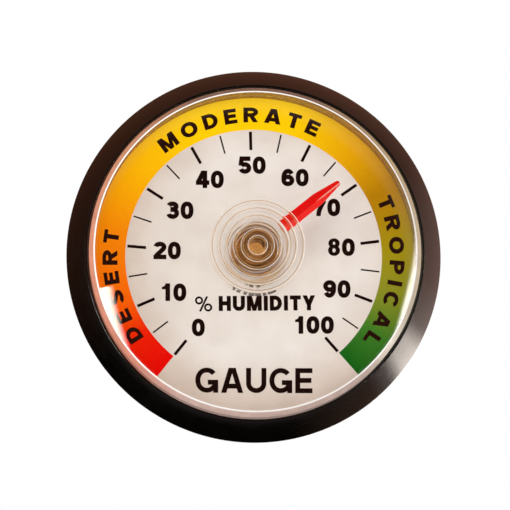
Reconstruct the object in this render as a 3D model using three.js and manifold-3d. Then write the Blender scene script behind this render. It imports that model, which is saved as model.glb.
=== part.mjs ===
// A round stick-on dial hygrometer: a black moulded case with a clipped bezel, a domed clear lens,
// a printed dial, a spiral humidity coil on an adjustable post, and a red pointer on the coil's end.
// Millimetres. The dial faces -Y and stands upright with +Z up, as the gauge hangs on a wall.
// The origin is the centre of the fastener's wall face. In the code, h is the distance from the wall
// towards the reader (y = -h), r is the distance from the dial's axis, and dial angles run
// anticlockwise from +X as the reader sees them.
import * as THREE from "three";
import { mergeVertices } from "three/addons/utils/BufferGeometryUtils.js";
import Module from "manifold-3d";

const wasm = await Module();
wasm.setup();

// Facets of a full turn.
const BIG_ROUND = 60;
const SMALL_ROUND = 32;
const PIN_ROUND = 12;

// How far a joined block reaches into its neighbour, and how far a cutter runs past what it cuts.
const INTO = 0.3;
const PAST = 1;

// Heights of the stack, from the wall outwards.
const ADHESIVE_T = 0.2;
const FASTENER_T = 1.0;
const LOOP_H = ADHESIVE_T;
const HOOK_H = LOOP_H + FASTENER_T;
const FILM_H = HOOK_H + FASTENER_T;
const CASE_H = FILM_H + ADHESIVE_T;
const BASE_T = 1.4;
const DIAL_BACK_H = 5.5;
const DIAL_H = 6.0;
const WIDEST_H = DIAL_H + 1.0;
const BEZEL_TOP_H = DIAL_H + 5.2;
const SHOULDER_H = DIAL_H + 6.1;
const APEX_H = DIAL_H + 12.0;

// Radii of the case, bezel, lens and dial.
const BEZEL_R = 25.0;
const BEZEL_INNER_R = 22.35;
const BEZEL_WALL_R = 23.2;
const CUP_R = 22.9;
const CUP_INNER_R = 21.6;
const LEDGE_R = 20.0;
const FLANGE_R = 24.5;
const DIAL_R = 21.3;
const LENS_R = 22.15;
const SHOULDER_R = 21.5;
const LENS_INNER_R = 21.1;
const PAD_R = 11.0;
const FLANGE_CHAMFER = 0.4;

// The shallow step in the case's rear face, around the pad.
const RELIEF = { from: PAD_R + 0.5, to: FLANGE_R - 2.1, depth: 0.3 };

// The snap ridge of the case and the groove of the bezel that takes it.
const SNAP_H = 5.0;
const SNAP_HALF = 0.4;
const SNAP_DEPTH = 0.6;
const SNAP_GAP = 0.3;

// The bezel's skirt, lip and flange seat.
const SKIRT_H = 3.55;
const SKIRT_DRAFT = 0.25;
const LIP_H = DIAL_H + 2.8;
const EDGE = 0.25;
const FLANGE_TOP_H = LIP_H - 0.2;
const CUP_TOP_H = DIAL_H + 1.3;
const SEAT_GAP = 0.1;

// The lens's thickness at its centre and the concentric ribs under it.
const LENS_T = 1.2;
const DOME_STEPS = 9;
const INNER_EDGE_H = SHOULDER_H - 1.1;
const RIB_RADII = [1.15, 2.05, 3.05, 4.05, 5.05, 6.05];
const RIB_T = 0.45;
const RIB_BOTTOM_H = DIAL_H + 6.4;

// The air slots in the case's base and the stiffening ribs between them.
const SLOTS = 12;
const SLOT_R = [13.0, 18.6];
const SLOT_W = 1.7;
const STIFFENERS = 6;
const STIFFENER_W = 0.9;
const STIFFENER_H = 5.0;

// The coil post with its bush, washer and collet.
const POST_R = 1.2;
const POST_TOP_H = DIAL_H + 5.7;
const POST_HEAD = { r: 2.4, from: CASE_H + 0.1, to: CASE_H + 0.65, chamfer: 0.2 };
const POST_DOME = { height: 0.45, midR: 0.85, midDrop: 0.12 };
const DRIVER_SLOT = { width: 0.6, depth: 0.35 };
const RECESS = { r: 2.9, depth: 0.95 };
const WASHER = { inner: 1.35, outer: 2.3, from: CASE_H + 0.7, to: CASE_H + 0.9 };
const WEB_BORE_R = 1.35;
const BOSS_R = 3.6;
const BUSH = {
  r: 1.8, bore: 1.25, from: 3.95, flangeR: 3.0, flangeT: 0.5, lift: 0.05, chamfer: 0.15,
};
const BUSH_HOLE_R = 1.9;
const COLLET = { r: 1.75, bore: 1.22, from: DIAL_H + 0.9, to: DIAL_H + 5.0 };
const COLLET_SLOT = { width: 0.8, depth: 0.4 };

// The humidity coil: a spiral strip standing on edge, whose last stretch eases out to the pointer.
const STRIP_T = 0.22;
const STRIP_H = [DIAL_H + 1.2, DIAL_H + 5.1];
const COIL_START_R = 2.05;
const COIL_LAST_R = 4.4;
const COIL_END_R = 5.05;
const COIL_TURNS = 4;
const COIL_EASE_TURNS = 0.15;
const COIL_STEPS = 26;
const COIL_OVERRUN_TURNS = 8 / 360;
const COIL_TAB_IN = 0.6;
const PIN = { r: 0.13, inset: 0.1, outward: 0.02 };

// The scale: 100 % takes 280 degrees, and the dial sits slightly turned in its case.
const SCALE_SWEEP = 280;
const DIAL_TURN = 1.5;
const READING = 68.8;
const POINTER_ANGLE = 90 + DIAL_TURN - (READING - 50) * SCALE_SWEEP / 100;

// The coil runs anticlockwise from the collet's slot to the pointer's foot.
const COIL_START_ANGLE = POINTER_ANGLE - COIL_TURNS * 360;

// The pointer's arm has a roof-shaped section. It lies a little off the radius that it follows.
const ARM = { from: 4.6, taper: 10.7, tip: 14.4, width: 1.75, tipR: 0.3, offset: 0.27 };
const ARM_H = { bottom: DIAL_H + 5.25, side: DIAL_H + 5.55, ridge: DIAL_H + 5.95 };
const FOOT = {
  from: 4.6, to: 5.5, width: 1.7, bottom: DIAL_H + 3.6, slot: 0.44, slotOver: 0.12,
};

const radians = (degrees) => THREE.MathUtils.degToRad(degrees);

const plastic = (color, roughness) =>
  new THREE.MeshStandardMaterial({ color, roughness, metalness: 0 });
const metal = (color, roughness) =>
  new THREE.MeshStandardMaterial({ color, roughness, metalness: 1 });

const MATERIALS = {
  bezel: plastic(0x0b0908, 0.15),
  case: plastic(0x141312, 0.5),
  lens: new THREE.MeshStandardMaterial({
    color: 0xf6f4ee, roughness: 0.03, metalness: 0, transparent: true, opacity: 0.3,
  }),
  dial: plastic(0xeee4da, 0.5),
  brass: metal(0xc08a42, 0.3),
  steel: metal(0xa9abae, 0.35),
  coil: metal(0x8c5c2c, 0.35),
  pointer: plastic(0xe00808, 0.25),
  fabric: plastic(0x0e0e10, 0.95),
  adhesive: plastic(0xd8d4c8, 0.6),
};

// A closed mesh as a manifold-3d solid.
function toSolid(geometry) {
  const plain = geometry.clone();
  plain.deleteAttribute("normal");
  plain.deleteAttribute("uv");
  const merged = mergeVertices(plain, 1e-4);
  return new wasm.Manifold(new wasm.Mesh({
    numProp: 3,
    vertProperties: merged.attributes.position.array,
    triVerts: new Uint32Array(merged.index.array),
  }));
}

function toGeometry(solid) {
  const mesh = solid.getMesh();
  const geometry = new THREE.BufferGeometry();
  geometry.setAttribute("position", new THREE.BufferAttribute(mesh.vertProperties, 3));
  geometry.setIndex(new THREE.BufferAttribute(mesh.triVerts, 1));
  geometry.computeVertexNormals();
  return geometry;
}

// Turns a closed outline of [r, h] points about the dial's axis.
function turned(outline, facets = BIG_ROUND) {
  const points = outline.map(([r, h]) => new THREE.Vector2(r, -h));
  if (THREE.ShapeUtils.area(points) < 0) points.reverse();
  const first = points.findIndex((p) => p.x === 0);
  if (first < 0) {
    points.push(points[0].clone());
  } else {
    const onAxis = (i) => points[i % points.length].x === 0;
    let start = first;
    while (!(onAxis(start) && !onAxis(start + 1))) start += 1;
    start %= points.length;
    points.push(...points.splice(0, start));
  }
  return new THREE.LatheGeometry(points, facets);
}

function disc(r, from, to, facets) {
  return turned([[0, from], [r, from], [r, to], [0, to]], facets);
}

function ring(inner, outer, from, to, facets) {
  return turned([[inner, from], [outer, from], [outer, to], [inner, to]], facets);
}

// Extrudes a shape drawn in the dial's plane from height h `from` to `to`.
function raised(shape, from, to) {
  const geometry = new THREE.ExtrudeGeometry(shape, {
    depth: to - from, bevelEnabled: false, curveSegments: 8, steps: 1,
  });
  geometry.rotateX(Math.PI / 2);
  geometry.translate(0, -from, 0);
  return geometry;
}

// A block along a radius: x from `from` to `to`, centred on the radius, `width` wide.
function radialBlock(from, to, width, low, high) {
  const shape = new THREE.Shape([
    new THREE.Vector2(from, -width / 2),
    new THREE.Vector2(to, -width / 2),
    new THREE.Vector2(to, width / 2),
    new THREE.Vector2(from, width / 2),
  ]);
  return raised(shape, low, high);
}

// Turns a geometry anticlockwise about the dial's axis, as the reader sees it.
function atAngle(geometry, degrees) {
  return geometry.rotateY(-radians(degrees));
}

function slotShape(from, to, width) {
  const half = width / 2;
  const shape = new THREE.Shape();
  shape.moveTo(from + half, -half);
  shape.lineTo(to - half, -half);
  shape.absarc(to - half, 0, half, -Math.PI / 2, Math.PI / 2, false);
  shape.lineTo(from + half, half);
  shape.absarc(from + half, 0, half, Math.PI / 2, 1.5 * Math.PI, false);
  return shape;
}

function caseBack() {
  const floor = CASE_H + BASE_T;
  const snapOut = CUP_R + SNAP_DEPTH;
  const { from, to, depth } = RELIEF;
  let solid = toSolid(turned([
    [RECESS.r, CASE_H], [from, CASE_H], [from + depth, CASE_H + depth],
    [to - depth, CASE_H + depth], [to, CASE_H],
    [FLANGE_R - FLANGE_CHAMFER, CASE_H], [FLANGE_R, CASE_H + FLANGE_CHAMFER],
    [FLANGE_R, SKIRT_H - SEAT_GAP], [CUP_R, SKIRT_H - SEAT_GAP],
    [CUP_R, SNAP_H - SNAP_HALF], [snapOut, SNAP_H], [CUP_R, SNAP_H + SNAP_HALF],
    [CUP_R, CUP_TOP_H], [CUP_INNER_R, CUP_TOP_H], [CUP_INNER_R, DIAL_BACK_H],
    [LEDGE_R, DIAL_BACK_H], [LEDGE_R, floor], [BOSS_R, floor], [BOSS_R, DIAL_BACK_H],
    [BUSH_HOLE_R, DIAL_BACK_H], [BUSH_HOLE_R, BUSH.from - SEAT_GAP],
    [WEB_BORE_R, BUSH.from - SEAT_GAP], [WEB_BORE_R, CASE_H + RECESS.depth],
    [RECESS.r, CASE_H + RECESS.depth],
  ]));
  for (let i = 0; i < STIFFENERS; i += 1) {
    const block = radialBlock(
      BOSS_R - INTO, LEDGE_R + INTO, STIFFENER_W, floor - INTO, STIFFENER_H);
    const angle = (i * 360) / STIFFENERS + 180 / SLOTS;
    solid = solid.add(toSolid(atAngle(block, angle)));
  }
  for (let i = 0; i < SLOTS; i += 1) {
    const slot = raised(slotShape(...SLOT_R, SLOT_W), CASE_H - PAST, floor + PAST);
    solid = solid.subtract(toSolid(atAngle(slot, (i * 360) / SLOTS)));
  }
  return toGeometry(solid);
}

function bezelRing() {
  const grooveR = CUP_R + SNAP_DEPTH + SNAP_GAP;
  const grooveHalf = SNAP_HALF + SNAP_GAP;
  return turned([
    [BEZEL_WALL_R, SKIRT_H], [BEZEL_R - SKIRT_DRAFT, SKIRT_H], [BEZEL_R, WIDEST_H],
    [BEZEL_INNER_R + EDGE, BEZEL_TOP_H - EDGE / 2], [BEZEL_INNER_R, BEZEL_TOP_H],
    [BEZEL_INNER_R, LIP_H], [BEZEL_WALL_R, LIP_H],
    [BEZEL_WALL_R, SNAP_H + grooveHalf], [grooveR, SNAP_H + EDGE], [grooveR, SNAP_H - EDGE],
    [BEZEL_WALL_R, SNAP_H - grooveHalf],
  ]);
}

// Height of a dome that passes through [edgeR, edgeH] and has its apex at apexH.
function domeHeight(r, edgeR, edgeH, apexH) {
  const sag = apexH - edgeH;
  const sphere = (edgeR * edgeR + sag * sag) / (2 * sag);
  return apexH - sphere + Math.sqrt(sphere * sphere - r * r);
}

function lens() {
  const outer = (r) => domeHeight(r, SHOULDER_R, SHOULDER_H, APEX_H);
  const inner = (r) => domeHeight(r, LENS_INNER_R, INNER_EDGE_H, APEX_H - LENS_T);
  const outline = [[0, APEX_H]];
  for (let i = 1; i <= DOME_STEPS; i += 1) {
    const r = (SHOULDER_R * i) / DOME_STEPS;
    outline.push([r, outer(r)]);
  }
  outline.push([LENS_R, BEZEL_TOP_H], [LENS_R, FLANGE_TOP_H], [CUP_R, FLANGE_TOP_H]);
  outline.push([CUP_R, CUP_TOP_H + SEAT_GAP], [LENS_INNER_R, CUP_TOP_H + SEAT_GAP]);
  for (let i = DOME_STEPS; i > DOME_STEPS / 3; i -= 1) {
    const r = (LENS_INNER_R * i) / DOME_STEPS;
    outline.push([r, inner(r)]);
  }
  for (const r of [...RIB_RADII].reverse()) {
    const out = r + RIB_T / 2;
    const inn = r - RIB_T / 2;
    outline.push([out, inner(out)], [out, RIB_BOTTOM_H], [inn, RIB_BOTTOM_H], [inn, inner(inn)]);
  }
  outline.push([0, APEX_H - LENS_T]);
  return turned(outline, BIG_ROUND);
}

function coilPost() {
  const { r, from, to, chamfer } = POST_HEAD;
  const { height, midR, midDrop } = POST_DOME;
  const post = toSolid(turned([
    [0, from], [r - chamfer, from], [r, from + chamfer], [r, to], [POST_R, to],
    [POST_R, POST_TOP_H - height], [midR, POST_TOP_H - midDrop], [0, POST_TOP_H],
  ], SMALL_ROUND));
  const slot = radialBlock(
    -r - PAST, r + PAST, DRIVER_SLOT.width, from - PAST, from + DRIVER_SLOT.depth);
  return toGeometry(post.subtract(toSolid(atAngle(slot, POINTER_ANGLE))));
}

function postBush() {
  const { r, bore, from, flangeR, flangeT, lift, chamfer } = BUSH;
  const seat = DIAL_H + lift;
  const top = seat + flangeT;
  return turned([
    [bore, from], [r, from], [r, seat], [flangeR, seat],
    [flangeR, top - chamfer], [flangeR - chamfer, top], [bore, top],
  ], SMALL_ROUND);
}

function coilCollet() {
  const collet = toSolid(ring(COLLET.bore, COLLET.r, COLLET.from, COLLET.to, SMALL_ROUND));
  const slot = radialBlock(COLLET.r - COLLET_SLOT.depth, COLLET.r + PAST, COLLET_SLOT.width,
    COLLET.from - PAST, COLLET.to + PAST);
  return toGeometry(collet.subtract(toSolid(atAngle(slot, COIL_START_ANGLE))));
}

// A point on one side (1 outer, -1 inner) of the strip, `turn` turns from its inner end.
function coilPoint(turn, side) {
  const spread = Math.max(0, turn - (COIL_TURNS - COIL_EASE_TURNS)) / COIL_EASE_TURNS;
  const ease = spread * spread * (3 - 2 * spread);
  const spiral = COIL_START_R + ((COIL_LAST_R - COIL_START_R) * turn) / COIL_TURNS;
  const r = spiral + (COIL_END_R - COIL_LAST_R) * ease + (side * STRIP_T) / 2;
  const angle = radians(COIL_START_ANGLE + turn * 360);
  return new THREE.Vector2(r * Math.cos(angle), r * Math.sin(angle));
}

function humidityCoil() {
  const count = COIL_TURNS * COIL_STEPS;
  const length = COIL_TURNS + COIL_OVERRUN_TURNS;
  const turns = Array.from({ length: count + 1 }, (_, i) => (i / count) * length);
  const outerSide = turns.map((t) => coilPoint(t, 1));
  const innerSide = turns.map((t) => coilPoint(t, -1)).reverse();
  const strip = toSolid(raised(new THREE.Shape([...outerSide, ...innerSide]), ...STRIP_H));
  const tab = radialBlock(COIL_START_R - COIL_TAB_IN, COIL_START_R + STRIP_T / 2,
    STRIP_T, ...STRIP_H);
  tab.translate(0, 0, STRIP_T / 2);
  return toGeometry(strip.add(toSolid(atAngle(tab, COIL_START_ANGLE))));
}

function coilPin() {
  const pin = disc(PIN.r, COLLET.from + PIN.inset, COLLET.to - PIN.inset, PIN_ROUND);
  pin.translate(COLLET.r - COLLET_SLOT.depth / 2 + PIN.outward, 0, -COLLET_SLOT.width / 4);
  return atAngle(pin, COIL_START_ANGLE);
}

// The arm's outline from its square inner end to its rounded tip.
function armOutline() {
  const half = ARM.width / 2;
  const shape = new THREE.Shape();
  shape.moveTo(ARM.from, -half);
  shape.lineTo(ARM.taper, -half);
  shape.lineTo(ARM.tip - ARM.tipR, -ARM.tipR);
  shape.absarc(ARM.tip - ARM.tipR, 0, ARM.tipR, -Math.PI / 2, Math.PI / 2, false);
  shape.lineTo(ARM.taper, half);
  shape.lineTo(ARM.from, half);
  return shape;
}

// A roof over the whole arm, whose two slopes meet on the ridge.
function roof() {
  const half = ARM.width / 2;
  const section = new THREE.Shape([
    new THREE.Vector2(-half, ARM_H.bottom), new THREE.Vector2(half, ARM_H.bottom),
    new THREE.Vector2(half, ARM_H.side), new THREE.Vector2(0, ARM_H.ridge),
    new THREE.Vector2(-half, ARM_H.side),
  ]);
  const length = ARM.tip - ARM.from + 2 * PAST;
  const geometry = new THREE.ExtrudeGeometry(section, { depth: length, bevelEnabled: false });
  geometry.applyMatrix4(new THREE.Matrix4().set(
    0, 0, 1, ARM.from - PAST,
    0, -1, 0, 0,
    1, 0, 0, 0,
    0, 0, 0, 1,
  ));
  return geometry;
}

function pointer() {
  const arm = toSolid(roof()).intersect(
    toSolid(raised(armOutline(), ARM_H.bottom - PAST, ARM_H.ridge + PAST)));
  const foot = radialBlock(FOOT.from, FOOT.to, FOOT.width, FOOT.bottom, ARM_H.side);
  const slot = radialBlock(COIL_END_R - FOOT.slot / 2, COIL_END_R + FOOT.slot / 2,
    FOOT.width + PAST, FOOT.bottom - PAST, STRIP_H[1] + FOOT.slotOver);
  const solid = arm.add(toSolid(foot)).subtract(toSolid(slot));
  const geometry = toGeometry(solid);
  geometry.translate(0, 0, ARM.offset);
  return atAngle(geometry, POINTER_ANGLE);
}

const PIECES = [
  ["wall_adhesive", () => disc(PAD_R, 0, LOOP_H), MATERIALS.adhesive],
  ["loop_disc", () => disc(PAD_R, LOOP_H, HOOK_H), MATERIALS.fabric],
  ["hook_disc", () => disc(PAD_R, HOOK_H, FILM_H), MATERIALS.fabric],
  ["hook_adhesive", () => disc(PAD_R, FILM_H, CASE_H), MATERIALS.adhesive],
  ["case_back", caseBack, MATERIALS.case],
  ["bezel_ring", bezelRing, MATERIALS.bezel],
  ["lens", lens, MATERIALS.lens],
  ["dial_plate", () => ring(BUSH_HOLE_R, DIAL_R, DIAL_BACK_H, DIAL_H), MATERIALS.dial],
  ["post_bush", postBush, MATERIALS.brass],
  ["friction_washer",
    () => ring(WASHER.inner, WASHER.outer, WASHER.from, WASHER.to, SMALL_ROUND), MATERIALS.steel],
  ["coil_post", coilPost, MATERIALS.brass],
  ["coil_collet", coilCollet, MATERIALS.brass],
  ["coil_pin", coilPin, MATERIALS.steel],
  ["humidity_coil", humidityCoil, MATERIALS.coil],
  ["pointer", pointer, MATERIALS.pointer],
];

const hygrometer = new THREE.Group();
hygrometer.name = "dial_hygrometer";
for (const [name, make, material] of PIECES) {
  const mesh = new THREE.Mesh(make(), material);
  mesh.name = name;
  hygrometer.add(mesh);
}

export default hygrometer;
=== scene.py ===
"""The looks of a stick-on dial hygrometer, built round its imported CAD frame.

Lengths in this file are millimetres until they reach a mesh. As in the CAD, h is the height above
the wall face (y = -h), r is the distance from the dial's axis, and dial angles run anticlockwise
from +X as the reader sees them.
"""

import math
import random

import bmesh
import bpy
from mathutils import Matrix, Vector
from mathutils.geometry import delaunay_2d_cdt


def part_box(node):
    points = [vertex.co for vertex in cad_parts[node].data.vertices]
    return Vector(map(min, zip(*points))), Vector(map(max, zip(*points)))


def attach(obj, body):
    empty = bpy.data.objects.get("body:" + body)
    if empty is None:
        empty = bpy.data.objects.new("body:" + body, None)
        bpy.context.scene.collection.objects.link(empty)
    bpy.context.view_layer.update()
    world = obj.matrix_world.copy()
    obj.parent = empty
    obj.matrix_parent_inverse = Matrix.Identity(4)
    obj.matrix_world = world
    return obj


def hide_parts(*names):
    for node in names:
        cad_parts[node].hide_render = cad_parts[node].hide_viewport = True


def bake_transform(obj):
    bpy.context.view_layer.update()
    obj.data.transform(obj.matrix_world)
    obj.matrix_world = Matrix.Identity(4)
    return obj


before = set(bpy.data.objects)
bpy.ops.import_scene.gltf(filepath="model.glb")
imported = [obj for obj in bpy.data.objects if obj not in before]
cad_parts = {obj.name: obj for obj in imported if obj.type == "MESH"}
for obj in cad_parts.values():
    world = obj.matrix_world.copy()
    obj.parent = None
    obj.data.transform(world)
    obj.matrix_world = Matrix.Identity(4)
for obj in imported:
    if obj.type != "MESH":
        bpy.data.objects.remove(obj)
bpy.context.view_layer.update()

MM = 0.001
FINE = 256  # facets of the large round pieces
SMALL = 96  # facets of the small ones
SMOOTH = 32  # degrees: an edge that turns by less is shaded smooth


def span(node):
    """Outer radius, lowest h and highest h of a round CAD node."""
    low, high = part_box(node)
    return high.x / MM, -high.y / MM, -low.y / MM


BEZEL_R, SKIRT_H, BEZEL_TOP_H = span("bezel_ring")
_, DIAL_BACK_H, DIAL_H = span("dial_plate")
LENS_FLANGE_R, LENS_FOOT_H, APEX_H = span("lens")
FLANGE_R, CASE_H, CUP_TOP_H = span("case_back")
PAD_R, _, LOOP_H = span("wall_adhesive")
_, _, FILM_H = span("hook_disc")
HEAD_R, HEAD_H, POST_TOP_H = span("coil_post")
BUSH_R, BUSH_H, BUSH_TOP_H = span("post_bush")
WASHER_R, WASHER_H, WASHER_TOP_H = span("friction_washer")
COLLET_R, COLLET_H, COLLET_TOP_H = span("coil_collet")
_, PIN_H, PIN_TOP_H = span("coil_pin")

# The scale and the pointer. The dial sits slightly turned in its case.
SCALE_SWEEP = 280
MIDDLE_ANGLE = 91.5
READING = 68.8


def scale_angle(percent):
    """Dial angle of a humidity reading."""
    return MIDDLE_ANGLE - (percent - 50) * SCALE_SWEEP / 100


POINTER_ANGLE = scale_angle(READING)
ZERO_ANGLE = scale_angle(0)
BAND_R = (17.0, 21.6)
TICK_R = (14.27, 16.76)


# ---------------------------------------------------------------- mesh helpers

def flat(point, h):
    """A point [x, z] of the dial's plane at height h, in metres."""
    return Vector((point[0], -h, point[1])) * MM


def place(r, degrees, h):
    """A point of the dial's polar frame, in metres."""
    a = math.radians(degrees)
    return flat((r * math.cos(a), r * math.sin(a)), h)


def about_axis(degrees):
    """The turn about the dial's axis that carries +X to a dial angle."""
    return Matrix.Rotation(-math.radians(degrees), 4, "Y")


def arc_points(radius, start, sweep, steps, centre=0.0):
    """steps + 1 points [x, z] along an arc round the point centre of the X axis."""
    angles = [math.radians(start + sweep * k / steps) for k in range(steps + 1)]
    return [Vector((centre + radius * math.cos(a), radius * math.sin(a))) for a in angles]


def add_object(name, data):
    """A new object of the scene that holds a mesh, a camera or a lamp."""
    obj = bpy.data.objects.new(name, data)
    bpy.context.scene.collection.objects.link(obj)
    return obj


def new_object(name, vertices, faces, smooth_angle=SMOOTH):
    mesh = bpy.data.meshes.new(name)
    mesh.from_pydata([tuple(v) for v in vertices], [], faces)
    finish_mesh(mesh, smooth_angle)
    return add_object(name, mesh)


def finish_mesh(mesh, smooth_angle=SMOOTH):
    """Merges doubles, turns the faces outwards and shades the mesh."""
    bm = bmesh.new()
    bm.from_mesh(mesh)
    bmesh.ops.remove_doubles(bm, verts=bm.verts, dist=1e-7)
    bmesh.ops.dissolve_degenerate(bm, edges=bm.edges, dist=1e-8)
    bmesh.ops.recalc_face_normals(bm, faces=bm.faces)
    bm.to_mesh(mesh)
    bm.free()
    shade(mesh, smooth_angle)


def shade(mesh, smooth_angle):
    """Shades smoothly across the edges that turn by less than smooth_angle."""
    for polygon in mesh.polygons:
        polygon.use_smooth = True
    mesh.set_sharp_from_angle(angle=math.radians(smooth_angle))


def hide_from(obj, *rays):
    """Leaves an object out of some kinds of ray."""
    for ray in rays:
        setattr(obj, "visible_" + ray, False)


def rounded(corners, steps=5):
    """A closed outline of [r, h] or [r, h, fillet radius] corners, with the fillets as arcs."""
    outline = []
    count = len(corners)
    for i, corner in enumerate(corners):
        p = Vector(corner[:2])
        if len(corner) < 3:
            outline.append(p)
            continue
        before = (Vector(corners[i - 1][:2]) - p).normalized()
        after = (Vector(corners[(i + 1) % count][:2]) - p).normalized()
        half = before.angle(after) / 2
        if half > math.radians(88):
            outline.append(p)
            continue
        reach = corner[2] / math.tan(half)
        centre = p + (before + after).normalized() * (corner[2] / math.sin(half))
        first, last = p + before * reach - centre, p + after * reach - centre
        turn = first.angle_signed(last)
        outline += [centre + Matrix.Rotation(-turn * k / steps, 2) @ first for k in range(steps + 1)]
    return outline


def revolve(name, outline, facets=FINE, smooth_angle=SMOOTH):
    """Turns a closed [r, h] outline about the dial's axis."""
    vertices, faces = [], []
    count = len(outline)
    for k in range(facets):
        degrees = 360 * k / facets
        vertices += [place(max(p[0], 0), degrees, p[1]) for p in outline]
    for k in range(facets):
        a, b = k * count, (k + 1) % facets * count
        for i in range(count):
            j = (i + 1) % count
            if outline[i][0] > 1e-9 or outline[j][0] > 1e-9:
                faces.append((a + i, a + j, b + j, b + i))
    return new_object(name, vertices, faces, smooth_angle)


def skin(rings, count, start=0):
    """Faces of a capped tube over rings of count vertices each, the first of which is start."""
    faces = []
    for a in range(start, start + (rings - 1) * count, count):
        b = a + count
        for i in range(count):
            j = (i + 1) % count
            faces.append((a + i, a + j, b + j, b + i))
    last = start + (rings - 1) * count
    return faces + [tuple(range(start, start + count)), tuple(reversed(range(last, last + count)))]


def prism(vertices_2d, faces_2d, low, high, to_space=flat):
    """Vertices and faces of a solid between low and high over a 2D triangulation."""
    count = len(vertices_2d)
    vertices = [to_space(p, low) for p in vertices_2d] + [to_space(p, high) for p in vertices_2d]
    faces = [tuple(reversed(f)) for f in faces_2d]
    faces += [tuple(i + count for i in f) for f in faces_2d]
    edges = {(f[i], f[(i + 1) % len(f)]) for f in faces_2d for i in range(len(f))}
    faces += [(a, b, b + count, a + count) for a, b in edges if (b, a) not in edges]
    return vertices, faces


def side_prism(outline, half):
    """A solid with an [x, h] outline that reaches half to either side."""
    return new_object("tool", *prism(outline, [tuple(range(len(outline)))], -half, half,
                                     lambda p, across: Vector((p[0], -p[1], across)) * MM))


def boolean(target, tool, operation):
    """Applies one boolean and removes the tool."""
    modifier = target.modifiers.new("cut", "BOOLEAN")
    modifier.operation = operation
    modifier.solver = "EXACT"
    modifier.object = tool
    bpy.context.view_layer.update()
    evaluated = target.evaluated_get(bpy.context.evaluated_depsgraph_get())
    mesh = bpy.data.meshes.new_from_object(evaluated)
    target.modifiers.clear()
    old = target.data
    target.data = mesh
    bpy.data.meshes.remove(old)
    bpy.data.objects.remove(tool)


def use_block(target, operation, degrees, start, end, half, low, high):
    """Cuts or joins a block that runs from r = start to end along a dial angle."""
    tool = side_prism([(start, low), (end, low), (end, high), (start, high)], half)
    tool.data.transform(about_axis(degrees))
    boolean(target, tool, operation)


# ---------------------------------------------------------------- stroke lettering

def arc(cx, cy, rx, ry, start, end, power=2.0):
    """Points of an elliptical arc; a power over 2 squares it up a little."""
    steps = max(3, round(abs(end - start) / 8))
    points = []
    for i in range(steps + 1):
        a = math.radians(start + (end - start) * i / steps)
        c, s = math.cos(a), math.sin(a)
        x = math.copysign(abs(c) ** (2 / power), c)
        y = math.copysign(abs(s) ** (2 / power), s)
        points.append((cx + rx * x, cy + ry * y))
    return points


def ribbon(points, width):
    """Quads of a stroke along points, mitred at its corners and cut square at its ends."""
    pts = [Vector(p) for p in points]
    pts = [p for i, p in enumerate(pts) if i == 0 or (p - pts[i - 1]).length > 1e-4]
    closed = (pts[0] - pts[-1]).length < 1e-6
    if closed:
        pts.pop()
    count, sides = len(pts), []
    for i, p in enumerate(pts):
        into = p - pts[i - 1] if closed or i else None
        out = pts[(i + 1) % count] - p if closed or i < count - 1 else None
        directions = [d.normalized() for d in (into, out) if d is not None]
        normals = [Vector((-d.y, d.x)) for d in directions]
        middle = sum(normals, Vector((0, 0))).normalized()
        reach = width / 2 / max(0.25, middle.dot(normals[0]))
        sides.append((p + middle * reach, p - middle * reach))
    last = count if closed else count - 1
    quads = []
    for i in range(last):
        (a, b), (c, d) = sides[i], sides[(i + 1) % count]
        quads.append([a, b, d, c])
    return quads


def clipped(polygon, low=0.0, high=1.0):
    """The part of a convex polygon whose y lies between low and high."""
    for sign, limit in ((1, low), (-1, -high)):
        kept = []
        for i, p in enumerate(polygon):
            q = polygon[(i + 1) % len(polygon)]
            dp, dq = sign * p[1] - limit, sign * q[1] - limit
            if dp >= 0:
                kept.append(p)
            if dp * dq < 0:
                kept.append(Vector(p).lerp(Vector(q), dp / (dp - dq)))
        polygon = kept
    return polygon


# Widths of the characters that aren't as wide as the rest, for a cap height of 1.
WIDTHS = {"1": 0.62, "4": 0.76, "M": 0.98, "O": 0.92, "E": 0.68, "T": 0.72, "S": 0.76, "P": 0.74,
          "C": 0.86, "L": 0.64, "G": 0.90, "A": 0.86, "%": 1.14}
DIGIT_WIDTH, LETTER_WIDTH = 0.73, 0.8
# Strokes thinner than the rest: the rings of an 8, which lie two and two, and the V of an M.
THIN_STROKES = {("8", 0): 0.74, ("8", 1): 0.74, ("8", 2): 0.74, ("8", 3): 0.74, ("M", 2): 0.86}
ONE_MARGIN = 0.1  # right of the stem of a 1


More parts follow.
